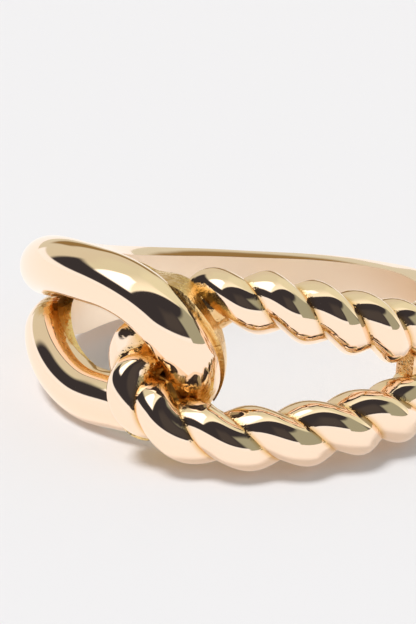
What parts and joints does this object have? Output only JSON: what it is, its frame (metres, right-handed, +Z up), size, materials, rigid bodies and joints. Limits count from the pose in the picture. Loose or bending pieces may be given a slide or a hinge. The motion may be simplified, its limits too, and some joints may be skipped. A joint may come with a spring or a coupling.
{
  "type": "braided ring",
  "caption": "Finger ring whose front is a smooth loop and a rope-twist loop hooked through each other, on a plain tapered band.",
  "frame": {"origin": "middle of the box round the ring, on the surface that it lies on", "axes": "+Z up, with the finger hole's axis about 11 degrees off it; the knot faces -Y and the band's back faces +Y"},
  "size_m": [0.0216, 0.0228, 0.0099],
  "materials": {
    "polished_gold": "high polish, yellow gold plate"
  },
  "bodies": {
    "root": {"ring": "polished_gold"}
  },
  "joints": []
}
